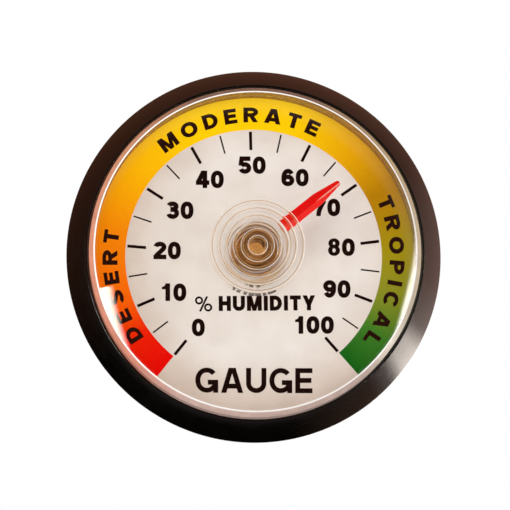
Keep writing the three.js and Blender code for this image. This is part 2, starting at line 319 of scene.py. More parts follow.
def glyph(char, weight):
    """Width and strokes of a character with cap height 1 and the stroke width weight."""
    if char == "9":
        wide, strokes = glyph("6", weight)
        return wide, [[(wide - x, 1 - y) for x, y in stroke] for stroke in strokes]
    half = weight / 2
    top, foot = 1 - half, half
    wide = weight if char == "I" else WIDTHS.get(char, DIGIT_WIDTH if char.isdigit() else LETTER_WIDTH)
    middle, left, right = wide / 2, half, wide - half
    reach = middle - half
    upper, lower = 0.715, 0.335
    upper_r, lower_r = top - upper, lower - foot

    def stem(x=left):
        return [(x, 0), (x, 1)]

    def bar(y, start=0.0, end=wide):
        return [(start, y), (end, y)]

    def oval(start, end, power=2.1):
        return arc(middle, 0.5, reach, 0.5 - half, start, end, power)

    def bowl(low, share):
        """The round of a D, P or R, from the stem's top to the height low."""
        x = wide * share
        round_end = arc(x, (top + low) / 2, right - x, (top - low) / 2, 90, -90)
        return [(left, top), (x, top)] + round_end + [(left, low)]

    forms = {
        "0": [oval(0, 360, 2.35)],
        "1": [stem(wide - ONE_MARGIN - half)],
        "2": [arc(middle, upper - 0.02, reach, upper_r + 0.02, 170, -30)
              + [(middle + 0.02, 0.42), (left + 0.07, 0.25), (left + 0.01, 0.1)], bar(foot)],
        "3": [arc(middle - 0.01, upper, reach * 0.93, upper_r, 160, -90) + [(middle - 0.13, upper - upper_r)],
              [(middle - 0.13, lower + lower_r)] + arc(middle, lower, reach, lower_r, 90, -165)],
        "4": [stem(wide - 0.12 - half), bar(0.31), [(half * 0.82, 0.3), (wide - 0.16 - half, 1.03)]],
        "5": [[(wide - 0.05, top), (left + 0.055, top), (left, 0.46)],
              arc(middle, lower, reach, lower_r, 145, -162)],
        "6": [arc(middle, lower, reach, lower_r, 0, 360),
              [(left, lower - 0.02)] + arc(middle + 0.01, 0.5, reach + 0.01, top - 0.5, 180, 34)],
        "7": [bar(top), [(wide - half * 0.75, top), (wide * 0.62, 0.55), (wide * 0.46, 0.25),
                         (wide * 0.42, -0.05)]],
        "8": [arc(middle, y, side - step, tall, 0, 360)
              for y, side, tall in ((0.716, reach * 0.96, 0.187), (0.313, reach * 1.04, 0.217))
              for step in (0, 0.055)],
        "%": [arc(x, y, 0.27 - half, 0.27 - half, 0, 360) for x, y in ((0.27, 0.73), (wide - 0.27, 0.27))]
             + [[(0.82, 1.04), (0.32, -0.04)]],
        "A": [[(half * 0.8, -0.06), (middle, 1.12), (wide - half * 0.8, -0.06)],
              bar(0.27, wide * 0.2, wide * 0.8)],
        "C": [oval(40, 320)],
        "D": [stem(), bowl(foot, 0.42)],
        "E": [stem(), bar(top, left), bar(0.51, left, wide * 0.94), bar(foot, left)],
        "G": [oval(40, 330), bar(0.42, middle + 0.04), [(right, 0.42), (right, 0)]],
        "H": [stem(), stem(right), bar(0.51, left, right)],
        "I": [stem()],
        "L": [stem(), bar(foot, left)],
        "M": [stem(), stem(right), [(left + 0.04, 1.12), (middle, -0.02), (right - 0.04, 1.12)]],
        "O": [oval(0, 360)],
        "P": [stem(), bowl(0.44, 0.5)],
        "R": [stem(), bowl(0.49, 0.5), [(wide * 0.5, 0.49), (wide - half * 1.05, -0.06)]],
        "S": [arc(middle, 0.72, reach * 0.94, top - 0.72, 14, 240)
              + arc(middle, 0.29, reach, 0.29 - foot, 62, -166)],
        "T": [bar(top), stem(middle)],
        "U": [[(left, 1), (left, 0.38)] + arc(middle, 0.38, reach, 0.38 - foot, 180, 360) + [(right, 1)]],
        "Y": [[(middle, 0), (middle, 0.46)],
              [(half * 0.75, 1.06), (middle, 0.38), (wide - half * 0.75, 1.06)]],
    }
    return wide, forms[char]


def glyph_polygons(char, weight):
    """Width and overlapping polygons that cover a character."""
    wide, strokes = glyph(char, weight)
    polygons = []
    for i, stroke in enumerate(strokes):
        polygons += [clipped(quad) for quad in ribbon(stroke, weight * THIN_STROKES.get((char, i), 1.0))]
    if char == "1":
        x = wide - ONE_MARGIN - weight
        flag = ((-0.2, 0.66), (0.02, 0.66), (0.02, 0.99), (-0.04, 0.88), (-0.11, 0.82), (-0.2, 0.8))
        polygons.append([Vector((x + across, up)) for across, up in flag])
    return wide, [p for p in polygons if len(p) > 2]


def union(polygons):
    """Triangles that cover overlapping polygons once."""
    points, faces = [], []
    for polygon in polygons:
        faces.append(list(range(len(points), len(points) + len(polygon))))
        points += [Vector(p) for p in polygon]
    vertices, _, triangles, _, _, origins = delaunay_2d_cdt(points, [], faces, 1, 1e-5)
    kept = []
    for triangle, origin in zip(triangles, origins):
        a, b, c = (vertices[i] for i in triangle)
        area = (b - a).cross(c - a)
        if origin and abs(area) > 1e-12:
            kept.append(tuple(triangle) if area > 0 else tuple(reversed(triangle)))
    return vertices, kept


# How far the ink stands above the dial's face, and how far it is sunk in it.
INK_T, INK_SUNK = 0.012, 0.004


class Print:
    """One printed piece: flat closed ink shapes on the dial's face."""

    def __init__(self):
        self.vertices, self.faces = [], []

    def add(self, polygons, to_dial):
        points, triangles = union(polygons)
        vertices, faces = prism(points, triangles, DIAL_H - INK_SUNK, DIAL_H + INK_T,
                                lambda p, h: flat(to_dial(p), h))
        start = len(self.vertices)
        self.vertices += vertices
        self.faces += [tuple(i + start for i in f) for f in faces]

    def word(self, text, x, y, cap, weight, gap, tilt=0.0):
        """A straight word whose baseline starts at x, y."""
        turn = Matrix.Rotation(math.radians(tilt), 2)
        origin, along = Vector((x, y)), 0.0
        for char in text:
            wide, polygons = glyph_polygons(char, weight)
            self.add(polygons, lambda p, a=along: origin + turn @ Vector((a + p[0] * cap, p[1] * cap)))
            along += wide * cap + gap

    def centred(self, text, x, y, cap, weight, gap):
        """A number or word centred on a point."""
        length = sum(glyph_polygons(c, weight)[0] for c in text) * cap + gap * (len(text) - 1)
        self.word(text, x - length / 2, y - cap / 2, cap, weight, gap)

    def arched(self, text, radius, middle, cap, weight, gap, wider):
        """A widened word along an arc, tops outwards, centred on the dial angle middle."""
        widths = [glyph_polygons(c, weight)[0] * cap * wider for c in text]
        along = -(sum(widths) + gap * (len(text) - 1)) / 2
        for char, wide in zip(text, widths):
            angle = math.radians(middle) - (along + wide / 2) / radius
            turn = Matrix.Rotation(angle - math.pi / 2, 2)
            centre = Vector((math.cos(angle), math.sin(angle))) * radius
            _, polygons = glyph_polygons(char, weight)
            self.add(polygons, lambda p, c=centre, t=turn, s=wide:
                     c + t @ Vector((p[0] * cap * wider - s / 2, (p[1] - 0.5) * cap)))
            along += wide + gap

    def tick(self, degrees, width):
        direction = Vector((math.cos(math.radians(degrees)), math.sin(math.radians(degrees))))
        self.add(ribbon([direction * TICK_R[0], direction * TICK_R[1]], width), lambda p: p)

    def build(self, name, material):
        piece(new_object(name, self.vertices, self.faces, 30), material, "case", "dial_print")


# ---------------------------------------------------------------- materials

class Nodes:
    """Short calls that add nodes to a shader tree."""

    def __init__(self, tree):
        self.tree = tree

    def feed(self, socket, value):
        if isinstance(value, bpy.types.NodeSocket):
            self.tree.links.new(value, socket)
        else:
            socket.default_value = value

    def node(self, kind, inputs, **settings):
        made = self.tree.nodes.new("ShaderNode" + kind)
        for key, value in settings.items():
            setattr(made, key, value)
        for key, value in inputs.items():
            self.feed(made.inputs[key], value)
        return made

    def math(self, operation, *values):
        return self.node("Math", dict(enumerate(values)), operation=operation).outputs[0]

    def times(self, a, b):
        return self.math("MULTIPLY", a, b)

    def dot(self, a, b):
        return self.node("VectorMath", {0: a, 1: b}, operation="DOT_PRODUCT").outputs["Value"]

    def spot(self):
        """The object's own coordinates, in metres."""
        return self.node("TexCoord", {}).outputs["Object"]

    def split(self, vector):
        """The x, y and z of a vector."""
        return self.node("SeparateXYZ", {0: vector}).outputs[:3]

    def radius(self, x, z):
        """Distance from the dial's axis."""
        return self.math("SQRT", self.math("ADD", self.times(x, x), self.times(z, z)))

    def turn(self, x, z):
        """Dial angle, as a share of a full turn from 0 to 1."""
        return self.math("FLOORED_MODULO", self.math("DIVIDE", self.math("ARCTAN2", z, x), 2 * math.pi), 1)

    def stretched(self, scale, rotation=(0, 0, 0), detail=2):
        """Noise stretched along some axes, whose features are a millimetre wide before that."""
        inputs = {"Vector": self.spot(), "Scale": scale, "Rotation": rotation}
        vector = self.node("Mapping", inputs).outputs[0]
        return self.node("TexNoise", {"Vector": vector, "Scale": 1 / MM, "Detail": detail}).outputs[0]

    def noise(self, size, detail=3, rough=0.5):
        """Noise whose features are about size millimetres wide."""
        inputs = {"Vector": self.spot(), "Scale": 1 / (size * MM), "Detail": detail, "Roughness": rough}
        return self.node("TexNoise", inputs).outputs[0]

    def patches(self, size, detail, rough, low, high, most=1.0):
        """Soft patches: 0 where the noise is under low, rising to most where it is over high."""
        return self.remap(self.noise(size, detail, rough), low, high, 0, most)

    def remap(self, value, low, high, to_low=0.0, to_high=1.0, smooth=False):
        inputs = {0: value, 1: low, 2: high, 3: to_low, 4: to_high}
        kind = "SMOOTHSTEP" if smooth else "LINEAR"
        return self.node("MapRange", inputs, interpolation_type=kind).outputs[0]

    def mix(self, factor, a, b, blend="MIX"):
        made = self.node("Mix", {}, data_type="RGBA", blend_type=blend)
        for index, value in ((0, factor), (6, a), (7, b)):
            self.feed(made.inputs[index], value)
        return made.outputs[2]

    def ramp(self, factor, stops):
        """Colours along a factor, from (position, linear colour) stops."""
        made = self.node("ValToRGB", {0: factor})
        elements = made.color_ramp.elements
        for i, (position, colour) in enumerate(stops):
            element = elements[i] if i < 2 else elements.new(position)
            element.position = position
            element.color = (*colour[:3], 1)
        return made.outputs[0]

    def bump(self, height, depth, under=None):
        """Bump whose full height range is depth millimetres, on top of the bump under it."""
        inputs = {"Height": height, "Distance": depth * MM, "Strength": 1.0}
        if under is not None:
            inputs["Normal"] = under
        return self.node("Bump", inputs).outputs[0]


class Paint(Nodes):
    """A material's Principled shader, with the nodes that feed it."""

    def __init__(self, name, **values):
        self.material = bpy.data.materials.new(name)
        self.material.use_nodes = True
        super().__init__(self.material.node_tree)
        self.shader = self.tree.nodes["Principled BSDF"]
        for key, value in values.items():
            self.shader.inputs[key.replace("_", " ")].default_value = value

    def let_through(self, clear):
        """Makes the finish clear by the share given, and wholly clear to the light that falls on the dial."""
        through = self.node("BsdfTransparent", {"Color": (0.995, 0.99, 0.985, 1)})
        path = self.node("LightPath", {})
        free = self.math("MAXIMUM", path.outputs["Is Shadow Ray"], path.outputs["Is Diffuse Ray"])
        mixed = self.node("MixShader", {0: self.math("MAXIMUM", free, clear), 1: self.shader.outputs[0],
                                        2: through.outputs[0]})
        self.feed(self.tree.nodes["Material Output"].inputs["Surface"], mixed.outputs[0])

    def finished(self, colour, rough, normal=None):
        """The material, once these feed its shader."""
        for key, value in (("Base Color", colour), ("Roughness", rough), ("Normal", normal)):
            if value is not None:
                self.feed(self.shader.inputs[key], value)
        return self.material


def tint(r, g, b):
    """An sRGB colour, 0 to 255, as linear RGBA."""
    linear = [((v / 255 + 0.055) / 1.055) ** 2.4 if v > 10 else v / 255 / 12.92 for v in (r, g, b)]
    return (*linear, 1)


def tinted(stops):
    """Ramp stops given with sRGB colours, with linear ones."""
    return [(position, tint(*colour)) for position, colour in stops]


def scratches(paint, length, pitch, width, turns):
    """Hairline scratches in a few directions, as a 0 to 1 mask."""
    total = 0.0
    for turn in turns:
        field = paint.stretched((1 / length, 1 / pitch, 1 / length), (0, turn, turn * 2))
        line = paint.remap(paint.math("ABSOLUTE", paint.math("SUBTRACT", field, 0.5)), 0, width, 1, 0)
        total = paint.math("MAXIMUM", total, line)
    return total


def bezel_paint(name, dull):
    """Black ABS with hairline scratches and a slight orange peel; dull is added to its roughness."""
    paint = Paint(name, Specular_IOR_Level=0.5, IOR=1.52)
    lines = scratches(paint, 9.0, 0.35, 0.004, (0.2, 1.1, 2.3))
    smudge = paint.noise(4.0, 4, 0.6)
    gloss = paint.remap(smudge, 0.35, 0.75, 0.08 + dull, 0.16 + dull)
    peel = paint.bump(paint.noise(0.5, 2), 0.0012)
    pits = paint.bump(paint.noise(0.09, 3, 0.7), 0.0009, peel)
    return paint.finished(paint.mix(paint.remap(smudge, 0.3, 0.7), tint(4, 3, 2), tint(9, 7, 6)),
                          paint.math("ADD", gloss, paint.times(lines, 0.2)),
                          paint.bump(lines, -0.0015, pits))


def case_paint():
    """Spark-eroded black ABS, paler in rubbed patches."""
    paint = Paint("case_textured_black", Specular_IOR_Level=0.3)
    grain = paint.noise(0.3, 4, 0.65)
    rubbed = paint.patches(3.0, 5, 0.65, 0.55, 0.8)
    colour = paint.mix(paint.remap(grain, 0.35, 0.65), tint(16, 15, 15), tint(32, 31, 31))
    return paint.finished(paint.mix(rubbed, colour, tint(46, 44, 43)),
                          paint.remap(grain, 0.3, 0.7, 0.62, 0.48), paint.bump(grain, 0.045))


def lens_paint():
    """Clear moulded plastic, with faint waves and wiping marks."""
    paint = Paint("lens_clear", Transmission_Weight=1.0, IOR=1.49)
    fine = scratches(paint, 5.0, 0.3, 0.001, (0.7, 1.9))
    paint.let_through(0.0)
    return paint.finished(tint(254, 253, 250), 0.0, paint.bump(paint.noise(7.0, 1), 0.002,
                                                               paint.bump(fine, -0.00004)))


def rib_wall_paint(name, clear):
    """The polished sides of the ribs: clear, with a gloss that grows as they turn edge on."""
    paint = Paint(name, Metallic=1.0)
    facing = paint.node("LayerWeight", {"Blend": 0.5}).outputs["Facing"]
    front = paint.math("SUBTRACT", 1, paint.node("NewGeometry", {}).outputs["Backfacing"])
    gloss = paint.times(front, paint.remap(facing, 0.75, 0.97, 0.02, 1 - clear, smooth=True))
    paint.let_through(paint.math("SUBTRACT", 1, gloss))
    return paint.finished(paint.mix(paint.noise(1.5), tint(250, 244, 234), tint(240, 230, 214)), 0.03,
                          paint.bump(paint.noise(2.0, 1), 0.001))


# The painted view in the lens's outer wall, by dial angle / 360, in sRGB: the print and the bezel painted in
# as if seen through the clear wall.
PAINTED_OUTER_WALL_VIEW = (
    (0.0, (236, 222, 190)), (0.1, (214, 190, 150)), (0.2, (132, 104, 92)), (0.3, (132, 104, 92)),
    (0.4, (226, 160, 126)), (0.5, (250, 170, 140)), (0.62, (248, 166, 142)), (0.68, (238, 206, 194)),
    (0.85, (232, 206, 196)), (0.92, (214, 206, 186)), (1.0, (236, 222, 190)))
# The same painted view for its inner wall.
PAINTED_INNER_WALL_VIEW = (
    (0.0, (222, 206, 150)), (0.1, (214, 156, 60)), (0.2, (204, 132, 14)), (0.3, (206, 130, 10)),
    (0.4, (232, 140, 60)), (0.5, (244, 160, 110)), (0.6, (240, 150, 120)), (0.75, (200, 174, 162)),
    (0.9, (200, 196, 150)), (1.0, (222, 206, 150)))


def lens_wall_paint(name, stops, clear):
    """A wall of the lens: moulded a little dull, with the view of the print through it painted in by dial
    angle.
    """
    paint = Paint(name, IOR=1.49)
    cloud = paint.patches(1.2, 4, 0.6, 0.3, 0.7)
    x, _, z = paint.split(paint.spot())
    colour = paint.ramp(paint.turn(x, z), tinted(stops))
    paint.let_through(clear)
    return paint.finished(paint.mix(paint.times(cloud, 0.35), colour, tint(150, 120, 112), "MULTIPLY"),
                          paint.remap(cloud, 0, 1, 0.15, 0.35), paint.bump(paint.noise(0.25), 0.002))


def frosted_paint(name, light, dark, clear):
    """Clear plastic with a dull bloom, painted pale as a highlight along an edge and a rib's outer root, and
    tan as a shade in a rib's inner root.
    """
    paint = Paint(name, IOR=1.49)
    cloud = paint.patches(1.6, 4, 0.6, 0.3, 0.7)
    paint.let_through(paint.remap(cloud, 0, 1, clear - 0.05, clear + 0.05))
    return paint.finished(paint.mix(cloud, tint(*light), tint(*dark)),
                          paint.remap(cloud, 0, 1, 0.18, 0.4), paint.bump(paint.noise(0.2), 0.002))


# The printed band, from the 0 mark to the 100 mark, in sRGB.
BAND_STOPS = (
    (0.00, (226, 0, 0)), (0.06, (232, 30, 0)), (0.13, (242, 104, 2)), (0.22, (238, 132, 2)),
    (0.31, (247, 178, 2)), (0.42, (254, 208, 4)), (0.56, (255, 208, 2)), (0.66, (230, 166, 4)),
    (0.73, (180, 126, 4)), (0.82, (160, 144, 18)), (0.88, (136, 142, 36)), (0.94, (60, 124, 38)),
    (1.00, (2, 96, 20)))


def dial_paint():
    """Warm white plate with faint clouds and a grainy printed zone band."""
    paint = Paint("dial_printed_face", Specular_IOR_Level=0.03)
    x, y, z = paint.split(paint.spot())
    radius = paint.radius(x, z)
    along = paint.math("SUBTRACT", ZERO_ANGLE, paint.times(paint.turn(x, z), 360))
    share = paint.math("DIVIDE", paint.math("FLOORED_MODULO", along, 360), SCALE_SWEEP)
    beyond = paint.math("GREATER_THAN", radius, BAND_R[0] * MM)
    short = paint.math("LESS_THAN", radius, BAND_R[1] * MM)
    band = paint.times(paint.math("LESS_THAN", share, 1.0), paint.times(beyond, short))

    grain = paint.noise(0.16, 2, 0.6)
    wander = paint.times(paint.math("SUBTRACT", paint.noise(0.5, 2), 0.5), 0.018)
    inks = paint.ramp(paint.math("ADD", share, wander), tinted(BAND_STOPS))
    inks = paint.mix(paint.remap(grain, 0.35, 0.75, 0.0, 0.12), inks, tint(120, 70, 10), "MULTIPLY")

    clouds = paint.patches(5.0, 4, 0.6, 0.35, 0.7)
    paper = paint.mix(clouds, tint(233, 228, 225), tint(222, 215, 210))
    # Painted shade: the plate is painted a little darker towards the rim, the left and the foot of the dial.
    for value, start, end, painted_shade_colour in ((radius, 13.5, 21, (238, 226, 218)),
                                            (x, -4, -17, (236, 230, 224)), (z, -13, -20, (246, 243, 240))):
        paper = paint.mix(paint.remap(value, start * MM, end * MM), paper, tint(*painted_shade_colour), "MULTIPLY")
    paper = paint.mix(paint.patches(0.35, 3, 0.7, 0.66, 0.8, 0.5), paper, tint(206, 194, 180))
    front = paint.math("LESS_THAN", y, -(DIAL_H - 0.02) * MM)
    plain = paint.mix(clouds, tint(220, 216, 210), tint(205, 200, 194))
    return paint.finished(paint.mix(front, plain, paint.mix(band, paper, inks)),
                          paint.remap(grain, 0.3, 0.7, 0.42, 0.55),
                          paint.bump(paint.noise(0.3, 4, 0.6), 0.004))


def ink_paint(name, thick_ink, thin_ink):
    """Screen-printed ink, a little paler where it is thin."""
    paint = Paint(name, Specular_IOR_Level=0.04)
    thin = paint.patches(0.25, 3, 0.6, 0.5, 0.75)
    return paint.finished(paint.mix(thin, tint(*thick_ink), tint(*thin_ink)),
                          paint.remap(thin, 0, 1, 0.4, 0.55), paint.bump(paint.noise(0.08, 2), 0.002))


def turned_metal(name, light, dark, rough, pitch, metallic=1.0):
    """Turned metal: fine rings about the dial's axis and a little tarnish."""
    paint = Paint(name, Metallic=metallic)
    x, y, z = paint.split(paint.spot())
    across = paint.math("ADD", paint.radius(x, z), y)
    rings = paint.math("SINE", paint.times(across, 2 * math.pi / (pitch * MM)))
    tarnish = paint.patches(0.8, 5, 0.65, 0.35, 0.75)
    return paint.finished(paint.mix(tarnish, tint(*light), tint(*dark)),
                          paint.math("ADD", paint.times(tarnish, 0.18), rough),
                          paint.bump(rings, 0.0008, paint.bump(paint.noise(0.12), 0.0015)))


def coil_paint(name, light, dark, deep_shade):
    """One side of the coil's strip, rolled lengthways, tarnished in bands, paler on its outer turns and
    painted darker towards the dial as painted shade.
    """
    paint = Paint(name, Metallic=0.25, Coat_Weight=0.5, Coat_Roughness=0.12)
    x, y, z = paint.split(paint.spot())
    # Painted shade: the strip is painted darker the nearer it is to the dial.
    depth = paint.remap(y, -COIL["to"] * MM, -COIL["from"] * MM)
    cloud = paint.patches(1.2, 4, 0.6, 0.35, 0.7)
    colour = paint.mix(cloud, tint(*light), tint(*dark))
    colour = paint.mix(paint.remap(depth, 0.2, 1.0), colour, tint(*deep_shade))
    outer = paint.remap(paint.radius(x, z), COIL["pale"][0] * MM, COIL["pale"][1] * MM, smooth=True)
    pale = paint.mix(cloud, tint(244, 214, 168), tint(200, 156, 100))
    return paint.finished(paint.mix(outer, colour, pale), paint.remap(cloud, 0, 1, 0.22, 0.42),
                          paint.bump(paint.stretched((1, 14, 1), detail=3), 0.003))


def pointer_paint():
    """Glossy moulded red, with a painted sheen on the lower facet and a painted highlight along the ridge
    towards the tip.
    """
    paint = Paint("pointer_gloss_red", Specular_IOR_Level=0.2, Coat_Weight=0.1, Coat_Roughness=0.05)
    turn = math.radians(POINTER_ANGLE)
    along = paint.dot(paint.spot(), (math.cos(turn), 0, math.sin(turn)))
    across = paint.dot(paint.spot(), (-math.sin(turn), 0, math.cos(turn)))
    cloud = paint.patches(1.5, 3, 0.5, 0.35, 0.7)
    ridge = ARM["offset"] - 0.1
    red = paint.mix(cloud, tint(224, 0, 0), tint(206, 0, 0))
    # Painted sheen: the lower facet is painted a paler red.
    pale = paint.mix(cloud, tint(250, 46, 38), tint(244, 34, 28))
    red = paint.mix(paint.remap(across, ridge * MM, (ridge - 0.12) * MM, smooth=True), red, pale)
    # Painted highlight: a pale streak is painted along the ridge towards the tip.
    off_ridge = paint.math("ABSOLUTE", paint.math("SUBTRACT", across, (ridge - 0.06) * MM))
    painted_glint_streak = paint.times(paint.remap(off_ridge, 0.0, 0.14 * MM, 0.85, 0, smooth=True),
                         paint.remap(along, ARM["painted_glint"][0] * MM, ARM["painted_glint"][1] * MM, smooth=True))
    return paint.finished(paint.mix(painted_glint_streak, red, tint(255, 178, 158)),
                          paint.remap(cloud, 0, 1, 0.2, 0.3), paint.bump(paint.noise(0.25), 0.0018))


def weave(paint):
    """Crossed waves with the pitch of the fastener's threads."""
    x, _, z = paint.split(paint.spot())
    pace = 2 * math.pi / (THREAD_PITCH * MM)
    return paint.times(paint.math("SINE", paint.times(x, pace)), paint.math("SINE", paint.times(z, pace)))


def fabric_paint():
    """Black nylon tape: a fine plain weave with a soft sheen."""
    paint = Paint("fastener_black_nylon", Specular_IOR_Level=0.25, Sheen_Weight=0.35, Sheen_Roughness=0.5)
    fuzz = paint.noise(0.1, 4, 0.7)
    return paint.finished(paint.mix(fuzz, tint(14, 14, 15), tint(38, 38, 40)),
                          paint.remap(fuzz, 0.2, 0.8, 0.75, 0.95),
                          paint.bump(weave(paint), 0.05, paint.bump(fuzz, 0.03)))


def adhesive_paint():
    """Pale pressure-sensitive film that takes the print of the tape's weave under it."""
    paint = Paint("adhesive_pale_film", Specular_IOR_Level=0.5)
    stain = paint.patches(4.0, 4, 0.6, 0.35, 0.75)
    return paint.finished(paint.mix(stain, tint(226, 221, 204), tint(204, 196, 174)),
                          paint.remap(stain, 0, 1, 0.32, 0.5),
                          paint.bump(weave(paint), 0.012, paint.bump(paint.noise(0.6), 0.02)))


# ---------------------------------------------------------------- pieces

def piece(obj, material, body, slot, *nodes):
    """Gives a new piece its finish and its body, and hides the CAD nodes it stands for. The slot is not used.
    """
    obj.data.materials.clear()
    obj.data.materials.append(material)
    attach(obj, body)
    if nodes:
        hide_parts(*nodes)


def finish_faces(obj, material, chosen):
    """Gives another finish to faces of a turned piece, by r, h, and their normal's lean and outwardness."""
    index = len(obj.data.materials)
    obj.data.materials.append(material)
    for face in obj.data.polygons:
        x, y, z = face.center / MM
        r = math.hypot(x, z)
        if chosen(r, -y, face.normal.y, (face.normal.x * x + face.normal.z * z) / r):
            face.material_index = index


# The bezel: a steep bevel from its widest edge up to the lens, and a groove for the case's snap.
WIDEST_H = DIAL_H + 1.0
WIDEST_R = BEZEL_R + 0.18
SKIRT_DRAFT = 0.25
BEZEL_INNER_R = 22.35
BEZEL_WALL_R = 23.2
LIP_H = DIAL_H + 2.8
SNAP_H = 5.0
GROOVE_R = BEZEL_WALL_R + 0.6
WORN = 0.12  # how far out the bezel's inner edge is worn dull


def make_bezel():
    bezel = revolve("bezel_ring_moulded", rounded([
        (BEZEL_WALL_R, SKIRT_H, 0.15), (BEZEL_R - SKIRT_DRAFT, SKIRT_H, 0.2), (WIDEST_R, WIDEST_H, 0.35),
        (BEZEL_INNER_R + 0.02, BEZEL_TOP_H, 0.16), (BEZEL_INNER_R, LIP_H, 0.1), (BEZEL_WALL_R, LIP_H),
        (BEZEL_WALL_R, SNAP_H + 0.7), (GROOVE_R, SNAP_H + 0.25, 0.1), (GROOVE_R, SNAP_H - 0.25, 0.1),
        (BEZEL_WALL_R, SNAP_H - 0.7)]))
    piece(bezel, bezel_paint("bezel_gloss_black", 0), "case", "bezel_plastic", "bezel_ring")
    finish_faces(bezel, bezel_paint("bezel_worn_edge", 0.5), lambda r, h, lean, out: r < BEZEL_INNER_R + WORN)
    hide_from(bezel, "shadow", "diffuse")


# The lens: a dome with a shoulder, a wall that drops into the bezel, and tall ribs under its centre.
LENS_R = 22.15
SHOULDER = (21.5, DIAL_H + 6.1)
SHOULDER_FILLET = 0.1
SHOULDER_HIGHLIGHT_BAND = 0.14  # how far the shoulder's edge is painted white, as a painted highlight, on either side
INNER_EDGE = (21.36, DIAL_H + 5.5)
SKIRT_R = 21.55
SKIRT_FOOT_H = DIAL_H + 0.02
FLANGE_TOP_H = LIP_H - 0.2
INNER_APEX_H = APEX_H - 1.2
RIBS = (1.15, 2.05, 3.05, 4.05, 5.05, 6.05)
RIB_T = 0.14
RIB_FILLET = 0.16
RIB_BOTTOM_H = DIAL_H + 6.4
RIB_ZONE_R = RIBS[-1] + 0.95
DOME_STEPS = 40


def dome_height(r, edge, apex):
    """Height of the dome through edge whose top is at height apex."""
    sag = apex - edge[1]
    sphere = (edge[0] ** 2 + sag ** 2) / (2 * sag)
    return apex - sphere + math.sqrt(sphere ** 2 - r ** 2)


def inner_height(r):
    return dome_height(r, INNER_EDGE, INNER_APEX_H)


def lens_outline():
    """The lens's section: out over the dome, down to the flange and the dial, and in under the ribs."""
    radii = [SHOULDER[0] * i / DOME_STEPS for i in range(DOME_STEPS)] + [SHOULDER[0] - SHOULDER_HIGHLIGHT_BAND]
    outline = [(r, dome_height(r, SHOULDER, APEX_H)) for r in radii]
    outline += [(*SHOULDER, SHOULDER_FILLET), (SHOULDER[0] + SHOULDER_HIGHLIGHT_BAND / 2, SHOULDER[1] - 0.77 * SHOULDER_HIGHLIGHT_BAND),
                (LENS_R, BEZEL_TOP_H - 0.1, 0.25), (LENS_R, FLANGE_TOP_H, 0.1),
                (LENS_FLANGE_R, FLANGE_TOP_H, 0.1), (LENS_FLANGE_R, LENS_FOOT_H, 0.1),
                (SKIRT_R, LENS_FOOT_H), (SKIRT_R, SKIRT_FOOT_H), (INNER_EDGE[0], SKIRT_FOOT_H),
                (*INNER_EDGE, 0.15)]
    outer_rib = RIBS[-1] + RIB_T / 2
    for i in range(1, DOME_STEPS):
        r = INNER_EDGE[0] + (outer_rib - INNER_EDGE[0]) * i / DOME_STEPS
        outline.append((r, inner_height(r)))
    for rib in reversed(RIBS):
        far, near = rib + RIB_T / 2, rib - RIB_T / 2
        outline += [(far, inner_height(far), RIB_FILLET), (far, RIB_BOTTOM_H, 0.03),
                    (near, RIB_BOTTOM_H, 0.03), (near, inner_height(near), RIB_FILLET)]
    return outline + [(0, INNER_APEX_H)]


def on_rib_side(r, h, lean):
    return r < RIB_ZONE_R and h < inner_height(r) and abs(lean) < 0.3


def on_rib_root(r, h, lean):
    return r < RIB_ZONE_R and h > RIB_BOTTOM_H + 0.6 and 0.3 < lean < 0.93


def make_lens():
    lens = revolve("lens_clear_dome", rounded(lens_outline(), 6), smooth_angle=24)
    piece(lens, lens_paint(), "case", "lens_plastic", "lens")
    highlight_low_h = SHOULDER[1] - 0.75 * SHOULDER_HIGHLIGHT_BAND
    finishes = (
        (rib_wall_paint("lens_rib_outsides", 0.15),
         lambda r, h, lean, out: on_rib_side(r, h, lean) and out > 0),
        (rib_wall_paint("lens_rib_insides", 0.9),
         lambda r, h, lean, out: on_rib_side(r, h, lean) and out < 0),
        # Painted highlight and shade: each rib's root is painted white on its outer side and tan on its inner
        # side.
        (frosted_paint("lens_rib_root_painted_highlight", (255, 253, 248), (252, 243, 230), 0.1),
         lambda r, h, lean, out: on_rib_root(r, h, lean) and out > 0),
        (frosted_paint("lens_rib_root_painted_shade", (206, 162, 102), (176, 128, 70), 0.25),
         lambda r, h, lean, out: on_rib_root(r, h, lean) and out < 0),
        # Painted highlight: the shoulder's rounded edge is painted white.
        (frosted_paint("lens_shoulder_painted_highlight", (255, 254, 252), (253, 249, 245), 0.05),
         lambda r, h, lean, out: abs(r - SHOULDER[0]) < SHOULDER_HIGHLIGHT_BAND and h > highlight_low_h and lean < -0.15),
        # Painted views: both walls carry painted colours of the print and the bezel seen through them.
        (lens_wall_paint("lens_outer_wall", PAINTED_OUTER_WALL_VIEW, 0.15),
         lambda r, h, lean, out: r > SHOULDER[0] + SHOULDER_HIGHLIGHT_BAND / 2 and LIP_H < h <= SHOULDER[1] - 0.7 * SHOULDER_HIGHLIGHT_BAND),
        (lens_wall_paint("lens_inner_wall", PAINTED_INNER_WALL_VIEW, 0.4),
         lambda r, h, lean, out: abs(r - INNER_EDGE[0]) < 0.02 and out < -0.8 and h < INNER_EDGE[1]))
    for material, chosen in finishes:
        finish_faces(lens, material, chosen)


DIAL_HOLE_R = 1.9


def make_dial():
    """The dial's edge meets the lens's inner wall."""
    edge = INNER_EDGE[0] - 0.005
    outline = [(DIAL_HOLE_R, DIAL_BACK_H, 0.06), (edge, DIAL_BACK_H, 0.08), (edge, DIAL_H, 0.02),
               (DIAL_HOLE_R, DIAL_H, 0.06)]
    dial = revolve("dial_plate_printed", rounded(outline, 3))
    piece(dial, dial_paint(), "case", "dial_print", "dial_plate")


